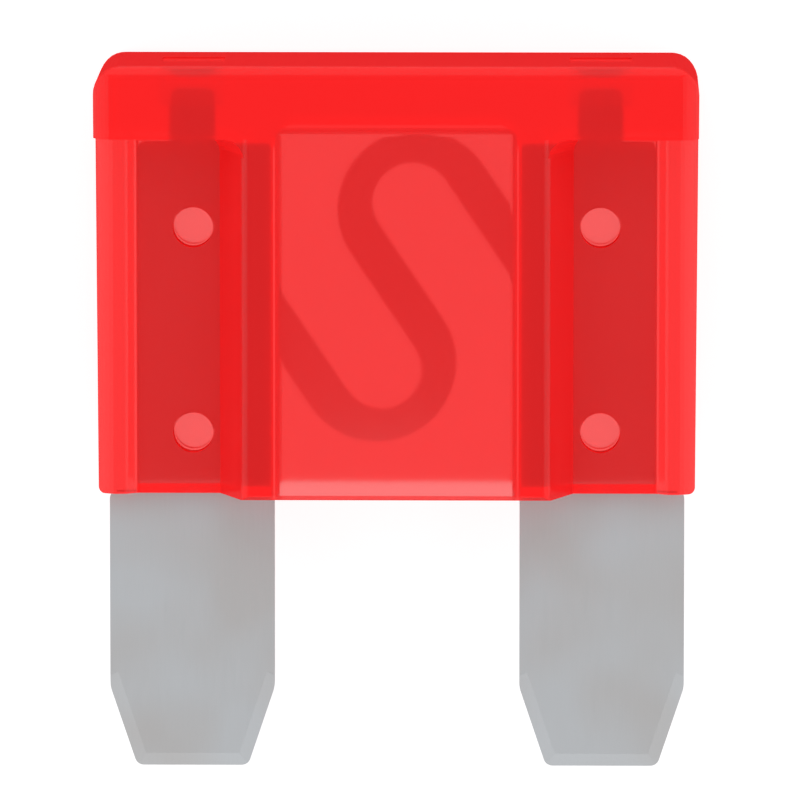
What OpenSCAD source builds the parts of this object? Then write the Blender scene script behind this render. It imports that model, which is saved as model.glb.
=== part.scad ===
// Blade fuse of the large size: a translucent moulded housing staked onto one stamped element.
// It lies flat on its back. X runs across the two blades, Y from the blade tips to the head,
// and Z up through the thickness. The origin is at the centre of the bottom of its box.

/* [Housing] */
// Width of the head across both wings
housing_w = 29.2; // [28.6:0.1:34]
// Length from the open mouth to the end of the head
housing_l = 21; // [20:0.1:26]
// Thickness of the head and of the raised middle
housing_t = 8.5; // [7:0.1:11]
// Length of the head, the stretch at full width and thickness
head_l = 3.5; // [2.8:0.1:5]
// Corner radius of the head, seen from the front
head_corner_r = 1.4; // [0.4:0.1:2]
// Corner radius of the head, seen on its end
head_end_r = 1; // [0.4:0.1:2]
// Radius along the long edges of the head's end
end_edge_r = 0.6; // [0.2:0.1:1.2]
// Radius along the edges of the open mouth
mouth_edge_r = 0.3; // [0.1:0.05:0.5]
// Draft of the outer sides towards the mouth, in degrees a side
side_draft = 0.4; // [0:0.1:0.8]
// Fillet between the head and the slopes of the raised middle
gusset_r = 0.9; // [0.3:0.1:1.5]

/* [Raised middle] */
// Width of the raised middle at its flat face
middle_face_w = 14.7; // [14.2:0.1:16]
// Width of the raised middle where its slopes meet the wings
middle_root_w = 17.1; // [16.4:0.1:17.4]
// Radius along the edges of the flat face
middle_edge_r = 0.5; // [0.2:0.1:0.9]
// Thickness of the walls over the link
wall = 1; // [0.6:0.05:1.4]
// Width of the hollow that the link stands in
hollow_w = 12.2; // [12:0.1:13]
// Thickness of the wall between the hollow and the end of the head
hollow_roof = 2.8; // [2.2:0.1:3]
// Radius of the hollow's long edges
hollow_edge_r = 0.6; // [0.2:0.1:1]
// Radius of the hollow's two inner corners
hollow_corner_r = 1.4; // [0.4:0.1:2.5]
// Radius where the hollow's roof meets its front and back walls
hollow_end_r = 0.6; // [0.4:0.1:2]

/* [Wings] */
// Thickness of each wing where it covers its terminal
wing_t = 2.7; // [2.3:0.1:3.4]
// Thickness of the rim along each outer edge
rim_t = 3.5; // [3:0.1:4.5]
// Width of the rim
rim_w = 2; // [1.9:0.05:2.4]
// Width of the slope from the rim down to the panel
rim_slope_w = 0.5; // [0.2:0.05:0.6]
// Radius of the rim's outer edges
rim_r = 1.1; // [0.4:0.05:1.15]

/* [Stakes] */
// How far each row of stakes sits inside the middle line of its blade
stake_inset = 0.1; // [0:0.05:0.8]
// Distance of the nearer stakes from the mouth
stake_first = 2.95; // [2.5:0.05:4]
// Distance between the two stakes in a row
stake_gap = 10; // [6:0.1:12]
// Diameter of the holes in the element that the stakes fill
stake_hole_d = 2; // [1.4:0.1:2.4]
// Diameter of the round dent that the staking punch leaves
dent_d = 1.95; // [1.2:0.05:2.4]
// Depth of that dent
dent_depth = 0.5; // [0.1:0.05:0.55]

/* [Test openings] */
// Width of the opening in the head over each terminal
probe_w = 3; // [2.4:0.1:3.6]
// Height of that opening, across the thickness
probe_t = 1.8; // [1.2:0.1:3]
// Depth of that opening
probe_depth = 2; // [1.6:0.1:2.2]
// Depth of the tongue's end below the end of the head
tongue_inset = 1.3; // [0.8:0.1:1.5]

/* [Element] */
// Thickness of the blades and terminals
blade_t = 0.8; // [0.6:0.05:1]
// Width of each blade
blade_w = 8; // [7:0.1:8.2]
// Distance between the middles of the two blades
blade_pitch = 19.9; // [19.6:0.1:20.4]
// Length of the blades outside the housing
blade_out = 13.5; // [10:0.1:16]
// How far each side of a blade tapers in towards the tip
tip_taper = 1.3; // [0.5:0.1:2]
// Length of the tapered tip
tip_l = 3.85; // [2:0.05:5]
// Corner radius at the tip
tip_r = 0.45; // [0.1:0.05:0.8]
// Radius where the taper starts
taper_r = 1.5; // [0.3:0.1:3]
// Width of the coined bevel round the tip
coin_w = 0.6; // [0.2:0.05:0.8]
// Depth of the coined bevel on each face
coin_depth = 0.1; // [0.05:0.05:0.25]
// Width of each terminal inside the housing
terminal_w = 6.65; // [5.8:0.05:6.8]
// Width of the tongue under each test opening
tongue_w = 2.1; // [1.4:0.1:2.2]
// Length of the tongue past the terminal's shoulders
tongue_l = 2.7; // [2:0.1:3.5]
// Radius of the small corners of the terminals
terminal_r = 0.4; // [0.1:0.05:0.5]

/* [Link] */
// Thickness of the link
link_t = 0.45; // [0.2:0.05:0.6]
// Width of the link's strip
link_w = 1.9; // [1:0.05:2]
// Radius of the middle line of each bend
bend_r = 2.9; // [2.4:0.05:2.9]
// Half the length of the straight strip between the bends
strip_half_l = 2.75; // [1.5:0.05:2.9]
// How much the strip narrows on each side at the top of a bend
bend_relief = 0.2; // [0:0.05:0.3]
// Lean of the straight strips from the blades' direction, in degrees
link_lean = 34; // [30:1:38]
// Gap between the link's upper bend and the roof of the hollow
link_gap = 0.6; // [0.2:0.1:1.4]

/* [Fits] */
// Clearance between the element and the slots on each side
slot_clearance = 0.1; // [0.05:0.01:0.15]
// Clearance between a stake and its hole, all round
stake_clearance = 0.05; // [0.02:0.01:0.1]
// Size of the bevel that leads into each slot
lead_in = 0.4; // [0.1:0.05:0.5]

/* [Hidden] */
$fn = 72;
// Steps in the arc of a rounded corner
ARC_STEPS = 8;
// How far a cut runs past the face that it opens, and how far joined shapes run into each other
RUN_PAST = 0.3;

total_l = blade_out + housing_l;
tip_y = -total_l / 2;
mouth_y = tip_y + blade_out;
end_y = total_l / 2;
head_y = end_y - head_l;
middle_z = housing_t / 2;

blade_in_x = (blade_pitch - blade_w) / 2;
blade_out_x = (blade_pitch + blade_w) / 2;
terminal_out_x = blade_in_x + terminal_w;
tongue_top_y = end_y - tongue_inset;
terminal_top_y = tongue_top_y - tongue_l;
stake_x = blade_pitch / 2 - stake_inset;
stake_ys = [mouth_y + stake_first, mouth_y + stake_first + stake_gap];
slot_t = blade_t + 2 * slot_clearance;
hollow_top_y = end_y - hollow_roof;
panel_out_x = housing_w / 2 - rim_w;

bend_out_r = bend_r + link_w / 2;
bend_in_r = bend_r - link_w / 2;
bend_out_y = strip_half_l - bend_relief;
bend_in_y = strip_half_l + bend_relief;
link_half_l = bend_r * sin(link_lean) + bend_out_y * cos(link_lean) + bend_out_r;
link_y = hollow_top_y - link_gap - link_half_l;

function unit(v) = v / norm(v);
function turned(v, a) = [v.x * cos(a) - v.y * sin(a), v.x * sin(a) + v.y * cos(a)];

// Points of the arc that rounds the corner at q, between its neighbours p and s, by radius r
function corner_arc(p, q, s, r) =
    let (to_p = unit(p - q),
         to_s = unit(s - q),
         half = acos(to_p * to_s) / 2,
         centre = q + unit(to_p + to_s) * r / sin(half),
         first = q + to_p * r / tan(half) - centre,
         way = to_p.x * to_s.y - to_p.y * to_s.x > 0 ? -1 : 1)
    [for (i = [0:ARC_STEPS]) centre + turned(first, way * (180 - 2 * half) * i / ARC_STEPS)];

// Outline through corners given as [x, y, radius], each one rounded by its radius
function rounded(corners) =
    let (last = len(corners) - 1,
         at = [for (c = corners) [c.x, c.y]])
    [for (i = [0:last])
        each corners[i].z == 0
            ? [at[i]]
            : corner_arc(at[i == 0 ? last : i - 1], at[i], at[i == last ? 0 : i + 1], corners[i].z)];

// Both mirror images of its children across the YZ plane
module both_sides() {
    for (side = [0, 1]) mirror([side, 0, 0]) children();
}

// Children drawn from the front (x, y) and given a thickness about the middle plane
module plate(t) {
    translate([0, 0, middle_z - t / 2]) linear_extrude(t) children();
}

// Children drawn as a section (x, height above the middle plane), running from y0 to y1
module along_y(y0, y1) {
    translate([0, y1, middle_z]) rotate([90, 0, 0]) linear_extrude(y1 - y0) children();
}

// Children drawn as a section (y, height above the middle plane), w wide about the middle
module along_x(w) {
    translate([-w / 2, 0, middle_z]) rotate([90, 0, 90]) linear_extrude(w) children();
}

// Outline of the housing from the front: drafted sides and a rounded head
module housing_outline() {
    half_top = housing_w / 2;
    half_mouth = half_top - housing_l * tan(side_draft);
    polygon(rounded([[half_mouth, mouth_y, mouth_edge_r],
                     [half_top, end_y, head_corner_r],
                     [-half_top, end_y, head_corner_r],
                     [-half_mouth, mouth_y, mouth_edge_r]]));
}

// Outline of the housing from the side
module housing_side() {
    half_t = housing_t / 2;
    polygon(rounded([[mouth_y, -half_t, mouth_edge_r],
                     [end_y, -half_t, end_edge_r],
                     [end_y, half_t, end_edge_r],
                     [mouth_y, half_t, mouth_edge_r]]));
}

// Section of the head
module head_section() {
    half_w = housing_w / 2;
    half_t = housing_t / 2;
    polygon(rounded([[half_w, half_t, head_end_r],
                     [-half_w, half_t, head_end_r],
                     [-half_w, -half_t, head_end_r],
                     [half_w, -half_t, head_end_r]]));
}

// Section of the raised middle, with sloping sides
module middle_section() {
    face = middle_face_w / 2;
    root = middle_root_w / 2;
    half_t = housing_t / 2;
    half_wing = wing_t / 2;
    polygon(rounded([[root, half_wing, 0],
                     [face, half_t, middle_edge_r],
                     [-face, half_t, middle_edge_r],
                     [-root, half_wing, 0],
                     [-root, -half_wing, 0],
                     [-face, -half_t, middle_edge_r],
                     [face, -half_t, middle_edge_r],
                     [root, -half_wing, 0]]));
}

// Section of both wings: a thin panel, and a thicker rim with rounded outer edges
module wing_section() {
    half_w = housing_w / 2;
    half_rim = rim_t / 2;
    half_wing = wing_t / 2;
    slope_x = panel_out_x + rim_slope_w;
    polygon(rounded([[half_w, half_rim, rim_r],
                     [slope_x, half_rim, rim_slope_w],
                     [panel_out_x, half_wing, rim_slope_w],
                     [-panel_out_x, half_wing, rim_slope_w],
                     [-slope_x, half_rim, rim_slope_w],
                     [-half_w, half_rim, rim_r],
                     [-half_w, -half_rim, rim_r],
                     [-slope_x, -half_rim, rim_slope_w],
                     [-panel_out_x, -half_wing, rim_slope_w],
                     [panel_out_x, -half_wing, rim_slope_w],
                     [slope_x, -half_rim, rim_slope_w],
                     [half_w, -half_rim, rim_r]]));
}

// Fillet along the line where one slope of the raised middle meets the head, drawn square to
// that line: its corner is at the origin, the head above it and the slope on its right
module gusset_section() {
    centre = [-gusset_r, -gusset_r];
    polygon(concat([[RUN_PAST, -gusset_r], [RUN_PAST, RUN_PAST], [-gusset_r, RUN_PAST]],
                   [for (i = [0:ARC_STEPS]) centre + turned([0, gusset_r], -90 * i / ARC_STEPS)]));
}

// That fillet on both faces, at positive X
module gussets() {
    rise = (housing_t - wing_t) / 2;
    run = (middle_root_w - middle_face_w) / 2;
    for (face = [0, 1])
        translate([0, 0, middle_z]) mirror([0, 0, face])
            translate([middle_face_w / 2, head_y, housing_t / 2])
                rotate([0, 180 - atan2(run, rise), 0])
                    linear_extrude(norm([rise, run])) gusset_section();
}

// Outer form of the housing, before anything is cut from it
module housing_body() {
    intersection() {
        plate(housing_t) housing_outline();
        along_x(housing_w) housing_side();
        union() {
            along_y(head_y, end_y) head_section();
            along_y(mouth_y, end_y) middle_section();
            along_y(mouth_y, end_y) wing_section();
            both_sides() gussets();
        }
    }
}

// The hollow for the link, open at the mouth and bevelled there
module hollow() {
    half_w = hollow_w / 2;
    half_t = housing_t / 2 - wall;
    below_y = mouth_y - RUN_PAST;
    bevel = lead_in / 2;
    intersection() {
        plate(housing_t)
            polygon(rounded([[half_w, below_y, 0],
                             [half_w, hollow_top_y, hollow_corner_r],
                             [-half_w, hollow_top_y, hollow_corner_r],
                             [-half_w, below_y, 0]]));
        along_y(below_y, hollow_top_y)
            polygon(rounded([[half_w, half_t, hollow_edge_r],
                             [-half_w, half_t, hollow_edge_r],
                             [-half_w, -half_t, hollow_edge_r],
                             [half_w, -half_t, hollow_edge_r]]));
        along_x(hollow_w)
            polygon(rounded([[below_y, -half_t, 0],
                             [hollow_top_y, -half_t, hollow_end_r],
                             [hollow_top_y, half_t, hollow_end_r],
                             [below_y, half_t, 0]]));
    }
    along_x(hollow_w - 2 * hollow_edge_r)
        polygon([[below_y, -half_t - bevel - RUN_PAST],
                 [mouth_y + bevel, -half_t],
                 [mouth_y + bevel, half_t],
                 [below_y, half_t + bevel + RUN_PAST]]);
}

// The slot that one terminal slides into, with its lead-in and the channel of its tongue
module terminal_slot() {
    slot_out_x = terminal_out_x + slot_clearance;
    slot_in_x = hollow_w / 2 - RUN_PAST;
    half_slot = slot_t / 2;
    slot_top_y = terminal_top_y + slot_clearance;
    tongue_slot_w = tongue_w + 2 * slot_clearance;
    below_y = mouth_y - RUN_PAST;
    plate(slot_t)
        polygon([[slot_in_x, below_y],
                 [slot_out_x, below_y],
                 [slot_out_x, slot_top_y],
                 [slot_in_x, slot_top_y]]);
    plate(slot_t)
        translate([stake_x - tongue_slot_w / 2, slot_top_y - RUN_PAST])
            square([tongue_slot_w, tongue_top_y + slot_clearance - slot_top_y + RUN_PAST]);
    intersection() {
        along_x(housing_w)
            polygon([[below_y, -half_slot - lead_in - RUN_PAST],
                     [mouth_y + lead_in, -half_slot],
                     [mouth_y + lead_in, half_slot],
                     [below_y, half_slot + lead_in + RUN_PAST]]);
        plate(housing_t)
            translate([slot_in_x, below_y]) square([slot_out_x - slot_in_x, housing_l]);
    }
}

// The opening in the end of the head through which a probe touches the tongue
module probe_opening() {
    plate(probe_t)
        translate([stake_x - probe_w / 2, end_y - probe_depth])
            square([probe_w, probe_depth + RUN_PAST]);
}

// The round dents that the staking punches leave on both faces of one wing
module dents() {
    floor_z = wing_t / 2 - dent_depth;
    for (y = stake_ys, face = [0, 1])
        translate([stake_x, y, middle_z]) mirror([0, 0, face])
            translate([0, 0, floor_z]) cylinder(h = housing_t, d = dent_d);
}

// The stakes of one wing, pressed through the holes of the terminal
module stakes() {
    for (y = stake_ys)
        translate([stake_x, y, middle_z])
            cylinder(h = slot_t + 2 * slot_clearance, d = stake_hole_d - 2 * stake_clearance, center = true);
}

module housing() {
    color("crimson") {
        difference() {
            housing_body();
            hollow();
            both_sides() {
                terminal_slot();
                probe_opening();
                dents();
            }
        }
        both_sides() stakes();
    }
}

// Outline of one blade with its terminal and tongue, at positive X
module terminal_outline() {
    tongue_in_x = stake_x - tongue_w / 2;
    tongue_out_x = stake_x + tongue_w / 2;
    difference() {
        polygon(rounded([[blade_in_x + tip_taper, tip_y, tip_r],
                         [blade_out_x - tip_taper, tip_y, tip_r],
                         [blade_out_x, tip_y + tip_l, taper_r],
                         [blade_out_x, mouth_y, min(terminal_r, (blade_out_x - terminal_out_x) / 2)],
                         [terminal_out_x, mouth_y, 0],
                         [terminal_out_x, terminal_top_y, terminal_r],
                         [tongue_out_x, terminal_top_y, 0],
                         [tongue_out_x, tongue_top_y, terminal_r],
                         [tongue_in_x, tongue_top_y, terminal_r],
                         [tongue_in_x, terminal_top_y, 0],
                         [blade_in_x, terminal_top_y, terminal_r],
                         [blade_in_x, tip_y + tip_l, taper_r]]));
        for (y = stake_ys) translate([stake_x, y]) circle(d = stake_hole_d);
    }
}

// Wedges that coin a bevel on both faces along the edge from p to q, with the metal on its left
module coin(p, q) {
    way = unit(q - p);
    run = norm(q - p) + 2 * coin_w;
    start = p - way * coin_w;
    for (face = [0, 1])
        translate([start.x, start.y, middle_z]) mirror([0, 0, face])
            rotate([0, 0, atan2(way.y, way.x)]) rotate([90, 0, 90])
                linear_extrude(run)
                    polygon([[-RUN_PAST, blade_t / 2 - coin_depth * (1 + RUN_PAST / coin_w)],
                             [coin_w + RUN_PAST, blade_t / 2 + coin_depth * RUN_PAST / coin_w],
                             [-RUN_PAST, blade_t / 2 + coin_depth]]);
}

// One blade with its coined tip, and the terminal behind it
module terminal() {
    tip_in = [blade_in_x + tip_taper, tip_y];
    tip_out = [blade_out_x - tip_taper, tip_y];
    difference() {
        plate(blade_t) terminal_outline();
        coin([blade_in_x, tip_y + tip_l], tip_in);
        coin(tip_in, tip_out);
        coin(tip_out, [blade_out_x, tip_y + tip_l]);
    }
}

// Half of the link in its own frame: from the centre the strip runs along Y to the bend, and
// its arm comes back past the centre, drawn long enough to run into the terminal
module link_half() {
    arm_l = 2 * link_half_l;
    difference() {
        union() {
            translate([bend_r, bend_out_y]) circle(bend_out_r);
            translate([-link_w / 2, -RUN_PAST]) square([bend_out_r, bend_out_y + RUN_PAST]);
            translate([bend_r, bend_out_y - arm_l]) square([bend_out_r, arm_l]);
        }
        translate([bend_r, bend_in_y]) circle(bend_in_r);
        translate([link_w / 2, -arm_l]) square([2 * bend_in_r, arm_l + bend_in_y]);
    }
}

// The thin link: two half turns about its centre, each cut off inside the terminal it meets
module link() {
    reach = blade_in_x + RUN_PAST;
    plate(link_t)
        intersection() {
            translate([0, link_y])
                for (turn = [0, 180]) rotate(turn + link_lean) link_half();
            translate([-reach, link_y - link_half_l]) square([2 * reach, 2 * link_half_l]);
        }
}

module fuse_element() {
    color("silver") {
        both_sides() terminal();
        link();
    }
}

housing();
fuse_element();
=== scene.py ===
"""Studio picture of an automotive blade fuse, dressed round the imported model.

The fuse lies flat on its back. X runs across the blades, Y from the tips to the head, Z up.
Lengths that are named in millimetres are turned to metres by MM. Angles are in degrees.
"""

import logging
import math
from dataclasses import dataclass, field
from enum import Enum
from typing import Any

import bpy
from mathutils import Matrix, Vector

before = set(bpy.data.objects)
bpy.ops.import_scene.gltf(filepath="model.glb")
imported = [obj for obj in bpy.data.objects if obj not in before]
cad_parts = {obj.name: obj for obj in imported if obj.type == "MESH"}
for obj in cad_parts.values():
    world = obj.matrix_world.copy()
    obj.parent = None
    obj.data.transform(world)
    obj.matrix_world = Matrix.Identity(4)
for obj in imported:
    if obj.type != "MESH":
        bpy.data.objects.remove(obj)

MM = 0.001
LOG = logging.getLogger("blade_fuse")

Colour = tuple[float, float, float, float]


class Slot(Enum):
    """The names of the record's material slots for the two pieces; nothing in this script reads them."""

    PLASTIC = "housing_plastic"
    METAL = "element_metal"


class Ray(Enum):
    """The kinds of ray that the backdrop tells apart, as the light path node names them."""

    CAMERA = "Is Camera Ray"
    GLOSSY = "Is Glossy Ray"
    THROUGH = "Is Transmission Ray"


def linear(code: str) -> Colour:
    """Turns a colour as a screen shows it into the linear values that the shaders use.

    Args:
        code: The sRGB colour as "#RRGGBB".

    Returns:
        Linear red, green and blue, and an alpha of 1.
    """
    shares = [int(code[i:i + 2], 16) / 255 for i in (1, 3, 5)]
    red, green, blue = (s / 12.92 if s <= 0.04045 else ((s + 0.055) / 1.055) ** 2.4 for s in shares)
    return red, green, blue, 1.0


def per_feature(size_mm: float) -> float:
    """Gives the noise scale at which one feature of the pattern is about that long.

    Args:
        size_mm: Length of one feature in millimetres.

    Returns:
        The scale for a pattern whose vector is in metres.
    """
    return 1 / (size_mm * MM)


def add_node(tree: bpy.types.NodeTree, kind: str, inputs: dict[str | int, Any] | None = None,
             **settings: Any) -> bpy.types.Node:
    """Adds one node with its settings, values and links.

    Args:
        tree: The node tree that it goes into.
        kind: The node's type, such as "ShaderNodeTexNoise".
        inputs: Socket name or number to a value, or to the output socket that feeds it.
        **settings: The node's own properties.

    Returns:
        The new node.
    """
    node = tree.nodes.new(kind)
    for name, value in settings.items():
        setattr(node, name, value)
    for name, value in (inputs or {}).items():
        if isinstance(value, bpy.types.NodeSocket):
            tree.links.new(value, node.inputs[name])
        else:
            node.inputs[name].default_value = value
    return node


def new_material(name: str) -> tuple[bpy.types.Material, bpy.types.NodeTree, bpy.types.Node]:
    """Makes an empty node material.

    Args:
        name: The material's name.

    Returns:
        The material, its node tree and its output node.
    """
    material = bpy.data.materials.new(name)
    material.use_nodes = True
    tree = material.node_tree
    tree.nodes.clear()
    return material, tree, add_node(tree, "ShaderNodeOutputMaterial")


@dataclass(frozen=True)
class MouldedPolycarbonate:
    """Dyed polycarbonate, injection moulded in a polished tool.

    It is clear enough to show the metal inside, and a small share of the light is scattered
    by the pigment, so that the body keeps its red even over dark metal. The dye takes green
    and blue away with depth: thin walls look pink, thick ones deep red. The faint glow is
    painted light: a red emission that stands in for the light that the pigment sends sideways
    through the body, from one part to the next.
    """

    clear: str = "#FFF8F7"
    pigment: str = "#FF2A2C"
    dye: str = "#FF0008"
    dye_density_per_mm: float = 0.8
    haze_share: float = 0.54
    haze_share_edge_on: float = 0.99
    # Painted light: the plastic emits this red itself, standing in for light scattered sideways through it
    glow: str = "#FF0000"
    painted_glow_strength: float = 0.13
    ior: float = 1.58
    roughness: float = 0.14
    haze_roughness: float = 0.45
    # Where the haze starts to grow, and where it is at its most, from face-on 0 to edge-on 1
    edge_on_from: float = 0.35
    edge_on_to: float = 0.9
    # Slow waves of a moulded face
    wave_mm: float = 1.6
    wave_height_mm: float = 0.004
    wave_detail: float = 3.0

    def build(self) -> bpy.types.Material:
        """Makes the material.

        Returns:
            The red plastic.
        """
        material, tree, out = new_material("moulded_polycarbonate")
        place = add_node(tree, "ShaderNodeTexCoord").outputs["Object"]
        wave = add_node(tree, "ShaderNodeTexNoise",
                        {"Vector": place, "Scale": per_feature(self.wave_mm),
                         "Detail": self.wave_detail})
        bump = add_node(tree, "ShaderNodeBump",
                        {"Height": wave.outputs["Fac"], "Distance": self.wave_height_mm * MM,
                         "Strength": 1.0})
        # Painted light: the body's red emission glows with no lamp, in place of light carried through the
        # plastic
        body = add_node(tree, "ShaderNodeBsdfPrincipled",
                        {"Base Color": linear(self.clear), "Roughness": self.roughness,
                         "IOR": self.ior, "Transmission Weight": 1.0,
                         "Emission Color": linear(self.glow),
                         "Emission Strength": self.painted_glow_strength,
                         "Normal": bump.outputs["Normal"]})
        haze = add_node(tree, "ShaderNodeBsdfPrincipled",
                        {"Base Color": linear(self.pigment), "Roughness": self.haze_roughness,
                         "Specular IOR Level": 0.0, "Normal": bump.outputs["Normal"]})
        facing = add_node(tree, "ShaderNodeLayerWeight").outputs["Facing"]
        share = add_node(tree, "ShaderNodeMapRange",
                         {"Value": facing, "From Min": self.edge_on_from, "From Max": self.edge_on_to,
                          "To Min": self.haze_share, "To Max": self.haze_share_edge_on})
        # The haze lies on the side that light enters by, and each wall has it once
        inside = add_node(tree, "ShaderNodeNewGeometry").outputs["Backfacing"]
        skin = add_node(tree, "ShaderNodeMath", {0: 1.0, 1: inside}, operation="SUBTRACT")
        part = add_node(tree, "ShaderNodeMath",
                        {0: share.outputs["Result"], 1: skin.outputs[0]}, operation="MULTIPLY")
        mixed = add_node(tree, "ShaderNodeMixShader",
                         {0: part.outputs[0], 1: body.outputs["BSDF"], 2: haze.outputs["BSDF"]})
        dye = add_node(tree, "ShaderNodeVolumeAbsorption",
                       {"Color": linear(self.dye), "Density": self.dye_density_per_mm / MM})
        tree.links.new(mixed.outputs["Shader"], out.inputs["Surface"])
        tree.links.new(dye.outputs["Volume"], out.inputs["Volume"])
        return material


@dataclass(frozen=True)
class RolledZinc:
    """Zinc alloy strip, rolled, stamped and left bare.

    Rolling leaves faint streaks along the blades, and a satin sheen that blurs reflections.
    The bare surface has dulled in soft patches, some bluish and some warmer.
    """

    metal: str = "#D8DBDE"
    shade: str = "#D4D3D3"
    roughness: float = 0.6
    roughness_spread: float = 0.06
    # Rolling streaks: their width, how many times longer they are, and their height
    streak_mm: float = 0.12
    streak_length: float = 14.0
    streak_height_mm: float = 0.002
    streak_detail: float = 4.0
    # Dulled patches, and the middle stretch of the noise that is spread over both tones
    cloud_mm: float = 5.0
    cloud_detail: float = 1.0
    cloud_low: float = 0.35
    cloud_high: float = 0.65

    def build(self) -> bpy.types.Material:
        """Makes the material.

        Returns:
            The satin metal.
        """
        material, tree, out = new_material("rolled_zinc")
        place = add_node(tree, "ShaderNodeTexCoord").outputs["Object"]
        along = add_node(tree, "ShaderNodeMapping",
                         {"Vector": place, "Scale": (1.0, 1 / self.streak_length, 1.0)})
        streak = add_node(tree, "ShaderNodeTexNoise",
                          {"Vector": along.outputs["Vector"], "Scale": per_feature(self.streak_mm),
                           "Detail": self.streak_detail})
        cloud = add_node(tree, "ShaderNodeTexNoise",
                         {"Vector": place, "Scale": per_feature(self.cloud_mm),
                          "Detail": self.cloud_detail})
        patch = add_node(tree, "ShaderNodeMapRange",
                         {"Value": cloud.outputs["Fac"], "From Min": self.cloud_low,
                          "From Max": self.cloud_high})
        tone = add_node(tree, "ShaderNodeMix",
                        {0: patch.outputs["Result"], 6: linear(self.metal), 7: linear(self.shade)},
                        data_type="RGBA")
        rough = add_node(tree, "ShaderNodeMapRange",
                         {"Value": streak.outputs["Fac"], "To Min": self.roughness - self.roughness_spread,
                          "To Max": self.roughness + self.roughness_spread})
        bump = add_node(tree, "ShaderNodeBump",
                        {"Height": streak.outputs["Fac"], "Distance": self.streak_height_mm * MM})
        body = add_node(tree, "ShaderNodeBsdfPrincipled",
                        {"Base Color": tone.outputs[2], "Metallic": 1.0,
                         "Roughness": rough.outputs["Result"], "Normal": bump.outputs["Normal"]})
        tree.links.new(body.outputs["BSDF"], out.inputs["Surface"])
        return material


@dataclass(frozen=True)
class PaperSweep:
    """White background paper: matt, seen as pure white, with only the soft shadow on it."""

    paper: str = "#E8E8E8"
    camera_glow: float = 1.6
    camera_share: float = 0.5

    def build(self) -> bpy.types.Material:
        """Makes the material.

        Returns:
            The paper.
        """
        material, tree, out = new_material("paper_sweep")
        path = add_node(tree, "ShaderNodeLightPath")
        lit = add_node(tree, "ShaderNodeBsdfDiffuse", {"Color": linear(self.paper)})
        white = add_node(tree, "ShaderNodeEmission", {"Strength": 1.0})
        glow = add_node(tree, "ShaderNodeEmission", {"Strength": self.camera_glow})
        seen = add_node(tree, "ShaderNodeMixShader",
                        {0: self.camera_share, 1: lit.outputs[0], 2: glow.outputs[0]})
        by_camera = add_node(tree, "ShaderNodeMixShader",
                             {0: path.outputs[Ray.CAMERA.value], 1: lit.outputs[0], 2: seen.outputs[0]})
        mirrored = add_node(tree, "ShaderNodeMath",
                            {0: path.outputs[Ray.GLOSSY.value], 1: path.outputs[Ray.THROUGH.value]},
                            operation="MAXIMUM")
        whole = add_node(tree, "ShaderNodeMixShader",
                         {0: mirrored.outputs[0], 1: by_camera.outputs[0], 2: white.outputs[0]})
        tree.links.new(whole.outputs[0], out.inputs["Surface"])
        return material


@dataclass
class Housing:
    """The one-piece moulded housing, as the CAD model gives it."""

    node: str = "housing"

    def dress(self) -> bpy.types.Object:
        """Gives the housing its plastic.

        Returns:
            The housing.
        """
        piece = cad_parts[self.node]
        piece.data.materials.clear()
        piece.data.materials.append(MouldedPolycarbonate().build())
        return piece


@dataclass
class FuseElement:
    """The one-piece stamping: two blades, their terminals and the thin link between them."""

    node: str = "fuse_element"

    def dress(self) -> bpy.types.Object:
        """Gives the stamping its metal.

        Returns:
            The stamping.
        """
        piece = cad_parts[self.node]
        piece.data.materials.clear()
        piece.data.materials.append(RolledZinc().build())
        return piece


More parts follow.
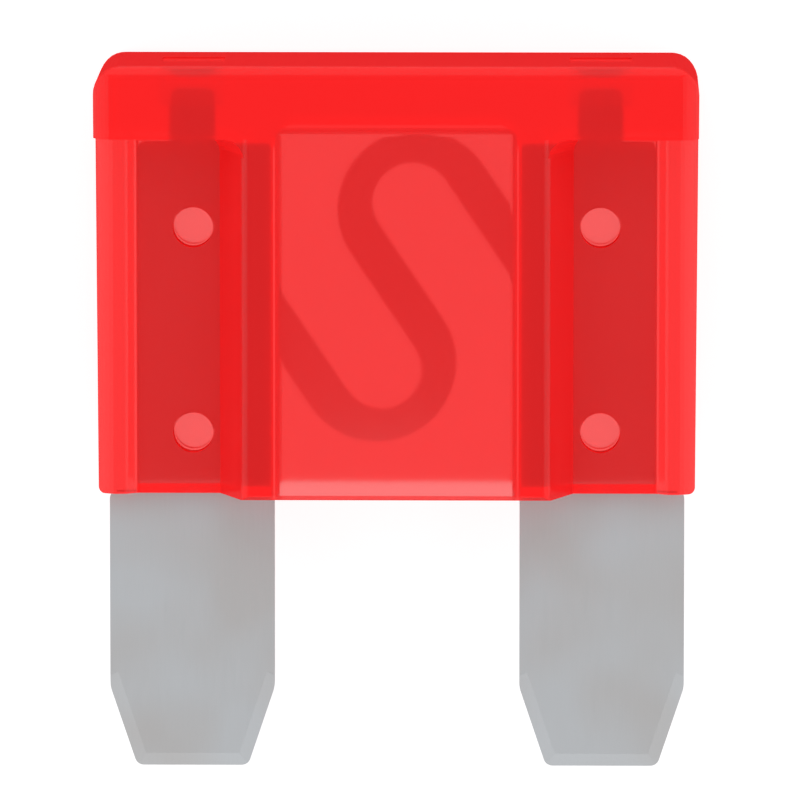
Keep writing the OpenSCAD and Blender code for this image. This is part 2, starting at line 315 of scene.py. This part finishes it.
@dataclass
class Studio:
    """The plain floor and the soft light round the fuse."""

    floor_radius_m: float = 3.0
    level: float = 1.05
    zenith_dark: float = 0.35
    dark_half_angle: float = 26.0
    soft_angle: float = 14.0

    def floor(self) -> bpy.types.Object:
        """Lays the floor that the fuse rests on.

        Returns:
            The floor.
        """
        mesh = bpy.data.meshes.new("floor")
        r = self.floor_radius_m
        mesh.from_pydata([(-r, -r, 0), (r, -r, 0), (r, r, 0), (-r, r, 0)], [], [(0, 1, 2, 3)])
        mesh.materials.append(PaperSweep().build())
        floor = bpy.data.objects.new("floor", mesh)
        bpy.context.scene.collection.objects.link(floor)
        return floor

    def sky(self) -> None:
        """Makes the soft white dome, dimmer overhead, where the camera side of a studio is."""
        world = bpy.data.worlds.new("studio_dome")
        bpy.context.scene.world = world
        world.use_nodes = True
        tree = world.node_tree
        tree.nodes.clear()
        way = add_node(tree, "ShaderNodeTexCoord").outputs["Generated"]
        up = add_node(tree, "ShaderNodeSeparateXYZ", {0: way}).outputs["Z"]
        edge = math.cos(math.radians(self.dark_half_angle + self.soft_angle))
        core = math.cos(math.radians(self.dark_half_angle))
        level = add_node(tree, "ShaderNodeMapRange",
                         {"Value": up, "From Min": edge, "From Max": core,
                          "To Min": self.level, "To Max": self.zenith_dark},
                         interpolation_type="SMOOTHSTEP")
        path = add_node(tree, "ShaderNodeLightPath")
        strength = add_node(tree, "ShaderNodeMath",
                            {0: level.outputs["Result"], 1: path.outputs[Ray.CAMERA.value]},
                            operation="MAXIMUM")
        dome = add_node(tree, "ShaderNodeBackground",
                        {"Color": linear("#FFFFFF"), "Strength": strength.outputs[0]})
        out = add_node(tree, "ShaderNodeOutputWorld")
        tree.links.new(dome.outputs[0], out.inputs["Surface"])


@dataclass
class PhotoCamera:
    """The camera, at the photograph's viewing angle and framing."""

    target_mm: tuple[float, float, float] = (0.14, 0.64, 4.25)
    distance_mm: float = 560.0
    tilt_to_head: float = 7.1
    tilt_to_right: float = 0.9
    sensor_mm: float = 36.0
    px_per_mm: float = 20.6
    frame_px: float = 800.0
    nearest_m: float = 0.05
    farthest_m: float = 20.0

    def place(self) -> bpy.types.Object:
        """Makes the camera and points it down at the fuse.

        Returns:
            The camera.
        """
        back = Vector((math.tan(math.radians(self.tilt_to_right)),
                       math.tan(math.radians(self.tilt_to_head)), 1.0)).normalized()
        right = Vector((0.0, 1.0, 0.0)).cross(back).normalized()
        up = back.cross(right)
        turn = Matrix((right, up, back)).transposed().to_4x4()
        data = bpy.data.cameras.new("camera")
        data.sensor_width = self.sensor_mm
        data.lens = self.sensor_mm * self.distance_mm * self.px_per_mm / self.frame_px
        data.clip_start = self.nearest_m
        data.clip_end = self.farthest_m
        camera = bpy.data.objects.new("camera", data)
        eye = (Vector(self.target_mm) + back * self.distance_mm) * MM
        camera.matrix_world = Matrix.Translation(eye) @ turn
        bpy.context.scene.collection.objects.link(camera)
        bpy.context.scene.camera = camera
        return camera


@dataclass
class BladeFuse:
    """The whole fuse: its housing and its element."""

    housing: Housing = field(default_factory=Housing)
    element: FuseElement = field(default_factory=FuseElement)

    def dress(self) -> None:
        """Dresses both pieces and reports them."""
        for part in (self.housing, self.element):
            piece = part.dress()
            LOG.info("%s: %d faces, %s", piece.name, len(piece.data.polygons),
                     ", ".join(m.name for m in piece.data.materials))


def main() -> None:
    """Builds the picture in order: view settings, stage, camera, then the fuse."""
    logging.basicConfig(level=logging.INFO, format="%(name)s: %(message)s")
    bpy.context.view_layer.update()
    bpy.context.scene.view_settings.view_transform = "Standard"
    studio = Studio()
    LOG.info("floor: %s", studio.floor().name)
    studio.sky()
    LOG.info("camera: %s", PhotoCamera().place().name)
    BladeFuse().dress()


if __name__ == "__main__":
    main()
